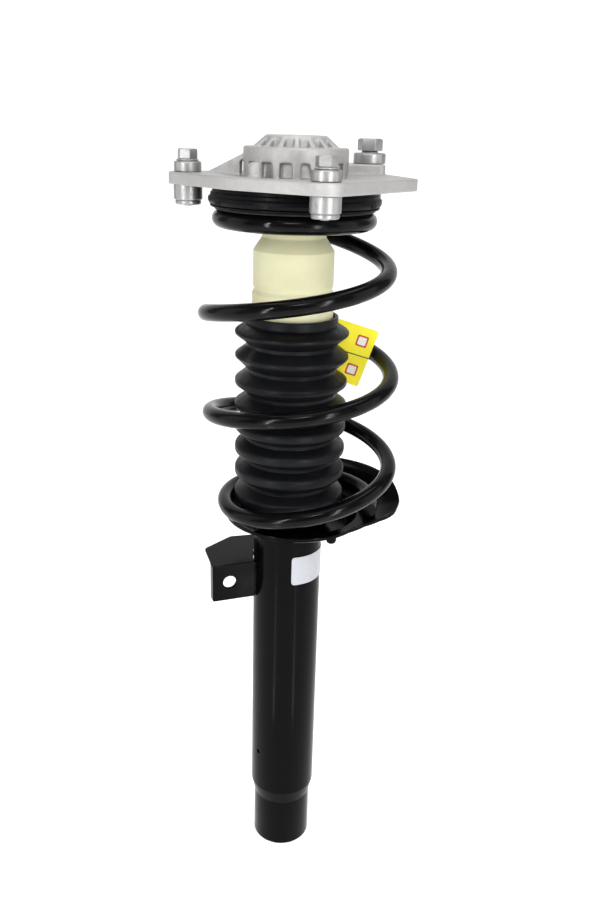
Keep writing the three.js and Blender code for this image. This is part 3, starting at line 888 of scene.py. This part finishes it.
def piston_rod():
    low, high = box_mm("piston_rod")
    rod = revolve("piston_rod_chromed", [
        (0, low.z), (NECK_R, low.z, 0.8), (NECK_R, 318), (ROD_R, 318, 0.8), (ROD_R, 577, 0.8),
        (NECK_R, 577), (NECK_R, 604), (0, 604),
    ], BRIGHT, 96, closed=False)
    thread = threaded("rod_thread", NECK_R, 1.5, 603.9, high.z, ZINC, crown=1.0)
    rod.data.materials.append(ZINC)
    bm = bmesh.new()
    bm.from_mesh(rod.data)
    shank_faces = len(bm.faces)
    bm.from_mesh(thread.data)
    bm.faces.ensure_lookup_table()
    for face in bm.faces[shank_faces:]:
        face.material_index = 1
    bm.to_mesh(rod.data)
    bm.free()
    discard(thread)
    smooth(rod, 60)
    place(rod, "top_mount", "chromed_steel", "piston_rod")


# --------------------------------------------------------------------- bearing

RACE_R = 50.0
BALL_R = 2.5


def bearing():
    seat = revolve("upper_spring_seat_moulding", [
        (34, 555, 0.6), (41, 555, 0.8), (46.5, 557, 1.5), (46.5, 569.2, 0.3), (61.2, 569.2, 0.4),
        (62.0, 569.8, 0.3), (62.0, 570.6, 0.3), (60.2, 571.1, 0.2), (RACE_R + 3.2, 571.1, 0.3),
        (RACE_R + 2.2, 573.5), (RACE_R, 572.8, 1.0), (RACE_R - 2.2, 573.5), (RACE_R - 3.2, 571.1, 0.3),
        (34, 571.1, 0.5),
    ], PLASTIC, 160)
    place(seat, "spring_seat", "black_plastic", "upper_spring_seat")

    cover = revolve("bearing_cover_moulding", [
        (27, 579.4), (44, 579.4), (RACE_R - 2.6, 577.8), (RACE_R, 578.5, 1.0), (RACE_R + 2.6, 577.8),
        (60.9, 577.6), (60.9, 571.4, 0.3), (62.4, 571.4, 0.6), (63.4, 573.6, 0.8), (63.4, 576.0, 0.6),
        (61.9, 577.2, 0.6), (61.6, 579.2, 0.4), (60.4, 579.9, 0.4), (60.2, 582.3, 0.5), (27, 582.3, 0.5),
    ], PLASTIC, 192)
    for k in range(9):
        clip = prism("clip", [(61.5, -4, 0.8), (63.6, -4, 0.8), (63.6, 4, 0.8), (61.5, 4, 0.8)],
                     572.0, 574.6, PLASTIC)
        turned(clip, about_z(40 * k + 12))
        cut_by(cover, clip, "UNION")
    smooth(cover, 35)
    place(cover, "top_mount", "black_plastic", "upper_bearing_ring")

    low, high = box_mm("bearing_cage")
    cage = revolve("bearing_cage_moulding", [
        (45, low.z, 0.4), (55, low.z, 0.4), (55, high.z, 0.4), (45, high.z, 0.4),
    ], PLASTIC, 144)
    balls = [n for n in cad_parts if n.startswith("bearing_ball_")]
    for k, node in enumerate(sorted(balls)):
        centre = middle_mm(node)
        pocket = drum("pocket", BALL_R + 0.3, low.z - 1, high.z + 1, PLASTIC, 32, centre.xy)
        cut_by(cage, pocket)
        half = [(BALL_R * math.sin(math.pi * i / 24), centre.z - BALL_R * math.cos(math.pi * i / 24))
                for i in range(25)]
        ball = revolve(node + "_ground", half, BRIGHT, 40, centre.xy, closed=False)
        place(ball, "bearing_cage", "plain_steel", node)
    smooth(cage, 35)
    place(cage, "bearing_cage", "black_plastic", "bearing_cage")


# ------------------------------------------------------------------- top mount

BOLT_CIRCLE_R = 80.0
BOLT_ANGLES = [173, 285, 45]  # left, front, rear right
PLATE_Z0, PLATE_Z1 = 583.0, 591.5
HUB_R, HUB_TOP, CROWN_TOP = 38.0, 611.0, 619.0
RIBS, RIB_PHASE = 16, -99.8


def bolt_place(angle):
    return (BOLT_CIRCLE_R * math.cos(math.radians(angle)), BOLT_CIRCLE_R * math.sin(math.radians(angle)))


def circle(x, y, r, count):
    return [(x + r * math.cos(TURN * k / count), y + r * math.sin(TURN * k / count)) for k in range(count)]


def plate_outline():
    """The convex outline around the hub's disc, the three bolt lobes and the right ear."""
    from mathutils.geometry import convex_hull_2d
    points = circle(0, 0, 68, 96) + circle(74, -4, 14, 48)
    for angle in BOLT_ANGLES:
        points += circle(*bolt_place(angle), 14, 48)
    return [points[i] for i in convex_hull_2d(points)]


def mount_casting():
    plate = prism("mount_casting_body", plate_outline(), PLATE_Z0, PLATE_Z1, ALUMINIUM)
    hub = revolve("hub", [
        (0, PLATE_Z0 + 0.5), (HUB_R, PLATE_Z0 + 0.5), (HUB_R, HUB_TOP, 1.5), (31, HUB_TOP, 1.5),
        (21.5, CROWN_TOP, 1.2), (0, CROWN_TOP),
    ], ALUMINIUM, 128, closed=False)
    boss = prism("boss", [(31, 36), (68, 36, 5), (68, 58, 9), (58, 70, 9), (31, 70, 5)],
                 PLATE_Z1 - 2.5, 599, ALUMINIUM)
    post = revolve("post", [(0, PLATE_Z1 - 2.5), (5.0, PLATE_Z1 - 2.5), (4.7, 600.5, 3.8), (0, 601.5, 1)],
                   ALUMINIUM, 40, (-27, -44), closed=False)
    gusset = prism("gusset", [
        (-66, PLATE_Z1 - 2.5), (-30, PLATE_Z1 - 2.5), (-30, 608), (-38, 606), (-66, PLATE_Z1 + 0.5),
    ], -3, 3, ALUMINIUM)
    turned(gusset, about_z(-12) @ Matrix.Rotation(math.radians(90), 4, "X"))
    sink = revolve("sink", [
        (30, PLATE_Z1 - 1.8), (HUB_R + 5, PLATE_Z1 - 1.8), (HUB_R + 22, PLATE_Z1 + 0.3), (30, PLATE_Z1 + 0.3),
    ], ALUMINIUM, 128)
    cut_by(plate, sink)
    for part in (hub, boss, post, gusset):
        cut_by(plate, part, "UNION")
    for k in range(RIBS):
        angle = RIB_PHASE + 360 * k / RIBS
        crown = prism("crown_pocket", [(23.4, -2.9, 1), (34.5, -4.2, 1), (34.5, 4.2, 1), (23.4, 2.9, 1)],
                      HUB_TOP - 0.4, 622, ALUMINIUM)
        cut_by(plate, turned(crown, about_z(angle)))
        slant = 2.6 if k % 3 == 1 else 0.0
        side = prism("side_pocket", [
            (-4.6, PLATE_Z1 - 1.0), (4.6, PLATE_Z1 - 1.0), (4.1, 600.6, 1.0), (-4.1 + slant, 600.6, 1.0),
        ], -HUB_R - 3, -HUB_R + 4.5, ALUMINIUM)
        stand = Matrix.Rotation(math.radians(90), 4, "X")
        cut_by(plate, turned(side, about_z(angle - 90) @ stand))
    bore = revolve("bore", [
        (0, 582), (29.3, 582), (29.3, 605), (18.5, 608), (18.5, 622), (0, 622),
    ], ALUMINIUM, 96, closed=False)
    cut_by(plate, bore)
    for angle in BOLT_ANGLES:
        cut_by(plate, drum("bolt_hole", 5.3, 580, 604, ALUMINIUM, 40, bolt_place(angle)))
    recast(plate, 0.72, 2)
    place(plate, "top_mount", "cast_aluminium", "mount_casting")


def mount_inside():
    low, high = box_mm("mount_bush")
    bush = revolve("mount_bush_rubber", [
        (13.3, low.z + 0.7, 0.6), (24, low.z, 2), (29, low.z + 2.7, 1.5), (29, high.z - 1, 1.5),
        (22, high.z, 1.5), (13.3, high.z - 1, 0.6),
    ], RUBBER, 128)
    place(bush, "top_mount", "black_rubber", "mount_bush")
    low, high = box_mm("mount_sleeve")
    sleeve = revolve("mount_sleeve_turned", [
        (7.3, low.z, 0.3), (13, low.z, 0.5), (13, high.z, 0.5), (7.3, high.z, 0.3),
    ], OILED, 96)
    place(sleeve, "top_mount", "plain_steel", "mount_sleeve")
    low, high = box_mm("lower_cup_washer")
    cup = revolve("lower_cup_washer_pressed", [
        (7.3, low.z), (24, low.z, 0.4), (24, low.z + 1.3, 0.4), (13, high.z, 0.8), (7.3, high.z),
    ], ZINC, 96)
    place(cup, "top_mount", "zinc_steel", "lower_cup_washer")
    low, high = box_mm("upper_cup_washer")
    cup = revolve("upper_cup_washer_pressed", [
        (7.3, low.z), (17, low.z, 0.5), (17, high.z, 0.6), (15, high.z, 0.5), (13.5, high.z - 0.7, 0.5),
        (7.3, high.z - 0.7),
    ], ZINC, 96)
    place(cup, "top_mount", "zinc_steel", "upper_cup_washer")
    low, high = box_mm("rod_nut")
    nut = hexagon("rod_nut_plated", 21, low.z, high.z, ZINC, turn=11.5, bore=7.3)
    place(nut, "top_mount", "zinc_steel", "rod_nut")


def fasteners():
    for i, angle in enumerate(BOLT_ANGLES, 1):
        x, y = bolt_place(angle)
        big = i == 3
        bolt_low, bolt_high = box_mm(f"mount_bolt_{i}")
        collar_low, collar_high = box_mm(f"bolt_collar_{i}")
        insert_low, insert_high = box_mm(f"threaded_insert_{i}")
        collar_r = (collar_high.x - collar_low.x) / 2
        base, top = collar_low.z, collar_high.z
        collar = revolve(f"bolt_collar_{i}_turned", [
            (4.4, base), (collar_r, base, 0.4), (collar_r, top, 1.3), (4.4, top, 0.4),
        ], ZINC, 96, (x, y))
        place(collar, "top_mount", "zinc_steel", f"bolt_collar_{i}")

        seat = top + 0.3
        across = 17.0 if big else 13.0
        neck = 1.4 if big else 1.6
        head = hexagon("head", across, seat + neck - 0.05, bolt_high.z, ZINC, (x, y), 20, dish=0.5)
        if big:
            flange = [(0, seat), (6.5, seat), (6.5, seat + 0.4, 0.3), (5.6, seat + neck), (0, seat + neck)]
        else:
            flange = [(0, seat), (8.3, seat, 0.5), (8.3, seat + 0.8, 0.5), (6.6, seat + neck, 0.6),
                      (0, seat + neck)]
        washer = revolve("flange", flange, ZINC, 72, (x, y), closed=False)
        shank = threaded("shank", 4.0, 1.25, bolt_low.z, seat + 0.2, ZINC, (x, y), crown=0.9)
        bolt = merged([head, washer, shank])
        bolt.name = f"mount_bolt_{i}_plated"
        smooth(bolt, 30)
        place(bolt, "top_mount", "zinc_steel", f"mount_bolt_{i}")

        low, high = insert_low.z, insert_high.z
        insert = revolve(f"threaded_insert_{i}_turned", [
            (4.4, low), (8.9, low, 0.5), (9.5, low + 0.8, 0.3), (9.5, low + 2.6, 0.3), (9.1, low + 3.0, 0.2),
            (10.5, low + 3.8, 0.4), (10.5, high, 0.3), (4.4, high),
        ], ZINC, 96, (x, y))
        place(insert, "top_mount", "zinc_steel", f"threaded_insert_{i}")


# ------------------------------------------------------------------------- tag


def spring_tag():
    """A plain card with a dark rule and two plain rimmed panels, drawn in x and z."""
    face_y = box_mm("spring_tag")[0].y

    def layer(name, outline, y0, y1, material):
        sheet = prism(name, outline, -y1, -y0, material)
        return turned(sheet, Matrix.Rotation(math.radians(90), 4, "X"))

    def panel(x, z, half, y0, material, tilt=-17):
        c, s = math.cos(math.radians(tilt)), math.sin(math.radians(tilt))
        corners = [(-half, -half), (half, -half), (half, half), (-half, half)]
        spots = [(x + a * c - b * s, z + a * s + b * c, half * 0.3) for a, b in corners]
        return layer("panel", spots, y0, y0 + 0.1, material)

    card_sheet = layer("spring_tag_card", [
        (36.2, 445), (40, 431), (54, 426.6, 2), (69.3, 472.6, 2), (36.2, 482.4, 0.5),
    ], face_y + 0.05, face_y + 0.45, YELLOW)
    rule = layer("rule", [(36.3, 457.3), (63.4, 449.4), (63.6, 450.2), (36.3, 458.2)],
                 face_y - 0.05, face_y + 0.08, INK)
    layers = [card_sheet, rule]
    materials = [YELLOW, INK]
    for x, z in ((56, 464.5), (48.5, 441)):
        layers += [panel(x, z, 4.6, face_y - 0.05, RED), panel(x, z, 3.3, face_y - 0.12, PAPER)]
        materials += [RED, PAPER]
    bm = bmesh.new()
    for index, sheet in enumerate(layers):
        start = len(bm.faces)
        bm.from_mesh(sheet.data)
        bm.faces.ensure_lookup_table()
        for face in bm.faces[start:]:
            face.material_index = index
    bm.to_mesh(card_sheet.data)
    bm.free()
    for material in materials[1:]:
        card_sheet.data.materials.append(material)
    discard(*layers[1:])
    place(card_sheet, "strut_body", "yellow_card", "spring_tag")
    squash_with_travel(card_sheet)


# ---------------------------------------------------------- floor, light, camera


def studio():
    mesh = bpy.data.meshes.new("studio_floor")
    half, run, rise, steps = 4.0, 2.2, 3.0, 12
    rows = [(-half, 0.0), (run, 0.0)]
    rows += [(run + 0.9 * math.sin(math.pi / 2 * i / steps), 0.9 - 0.9 * math.cos(math.pi / 2 * i / steps))
             for i in range(1, steps + 1)]
    rows.append((run + 0.9, rise + 1.5))
    points = [(x, y, z) for y, z in rows for x in (-half, half)]
    faces = [(2 * i, 2 * i + 1, 2 * i + 3, 2 * i + 2) for i in range(len(rows) - 1)]
    mesh.from_pydata(points, [], faces)
    floor = bpy.data.objects.new("studio_floor", mesh)
    bpy.context.scene.collection.objects.link(floor)
    white = Paint("studio_white", (0.9, 0.9, 0.9), 0.9)
    white.shader.inputs["Emission Color"].default_value = (1, 1, 1, 1)
    white.shader.inputs["Emission Strength"].default_value = 0.45
    mesh.materials.append(white.material)
    for face in mesh.polygons:
        face.use_smooth = True

    def softbox(name, azimuth, distance, height, size, watts, aim=0.32):
        """An area light at an azimuth from the front, in degrees to the right."""
        data = bpy.data.lights.new(name, "AREA")
        data.shape = "RECTANGLE"
        data.size, data.size_y = size
        data.energy = watts
        lamp = bpy.data.objects.new(name, data)
        bpy.context.scene.collection.objects.link(lamp)
        turn = math.radians(azimuth)
        lamp.location = (distance * math.sin(turn), -distance * math.cos(turn), height)
        toward = Vector((0, 0, aim)) - lamp.location
        lamp.rotation_euler = toward.to_track_quat("-Z", "Y").to_euler()
        return lamp

    softbox("strip_left", -36, 1.5, 0.62, (0.06, 1.5), 13)
    softbox("strip_right", 31, 1.5, 0.62, (0.08, 1.5), 15)
    softbox("side_left", -88, 1.5, 0.8, (0.9, 1.4), 4)
    softbox("side_right", 80, 1.5, 0.8, (0.9, 1.4), 5)
    softbox("overhead", 10, 0.5, 2.0, (1.4, 1.2), 7)
    softbox("front_bar", -4, 0.95, 1.25, (0.34, 0.03), 2.2, aim=0.4)
    softbox("backdrop_wash", 180, 0.4, 2.6, (2.2, 0.8), 20, aim=0.9)

    for name, azimuth in (("floor_strip_left", -33), ("floor_strip_right", 33)):
        strip = softbox(name, azimuth, 0.43, 0.004, (0.012, 0.42), 0.16)
        strip.rotation_euler = (math.pi, 0, math.radians(azimuth))
        strip.visible_camera = False

    world = bpy.data.worlds.new("studio_world")
    world.use_nodes = True
    world.node_tree.nodes["Background"].inputs["Color"].default_value = (1, 1, 1, 1)
    world.node_tree.nodes["Background"].inputs["Strength"].default_value = 0.24
    bpy.context.scene.world = world


LENS_MM = 35.1
SENSOR_MM = 36
CAMERA_TILT = 70  # degrees up from straight down
CAMERA_ROLL = 1.58  # degrees
CAMERA_SPOT = (0.0086, -0.665, 0.622)  # metres


def camera():
    """The front view: 665 mm in front, level with the top mount, looking 20 degrees down."""
    data = bpy.data.cameras.new("camera")
    data.lens = LENS_MM
    data.sensor_width = SENSOR_MM
    data.clip_start = 0.01
    view = bpy.data.objects.new("camera", data)
    bpy.context.scene.collection.objects.link(view)
    tilt = Matrix.Rotation(math.radians(CAMERA_TILT), 4, "X")
    roll = Matrix.Rotation(math.radians(CAMERA_ROLL), 4, "Z")
    view.matrix_world = Matrix.Translation(CAMERA_SPOT) @ tilt @ roll
    bpy.context.scene.camera = view


strut_tube()
lower_seat()
hose_bracket()
tube_label()
coil_spring()
spring_pads()
dust_boot()
bump_stop()
damper_inside()
piston_rod()
bearing()
mount_casting()
mount_inside()
fasteners()
spring_tag()
studio()
camera()
bpy.context.scene.view_settings.view_transform = "Standard"
